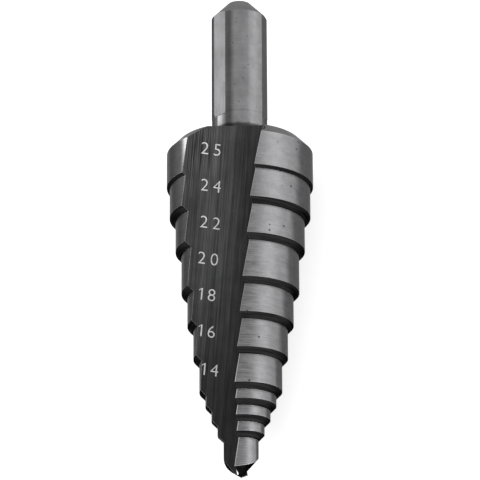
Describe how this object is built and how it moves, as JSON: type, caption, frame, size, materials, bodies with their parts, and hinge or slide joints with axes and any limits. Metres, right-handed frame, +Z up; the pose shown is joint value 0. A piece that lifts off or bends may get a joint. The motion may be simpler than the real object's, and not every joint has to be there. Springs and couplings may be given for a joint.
{
  "type": "step drill",
  "caption": "Stepped drill with a split point, straight flutes that thin the body toward the tip, stepped cylindrical lands with sloped shoulders and a round shank with flats.",
  "frame": {"origin": "bottom centre of the part's bounding box as it lies, level with the bench", "axes": "+Z up from the bench, +Y along the drill toward its shank, which rises 5.4 degrees, -Y toward the point, +X to the right of a front view"},
  "size_m": [0.0248, 0.0848, 0.0227],
  "materials": {
    "drill_steel": "dark ground steel with fine brushed streaks, lighter on the shank"
  },
  "bodies": {
    "root": {"step_drill": "drill_steel"}
  },
  "joints": []
}
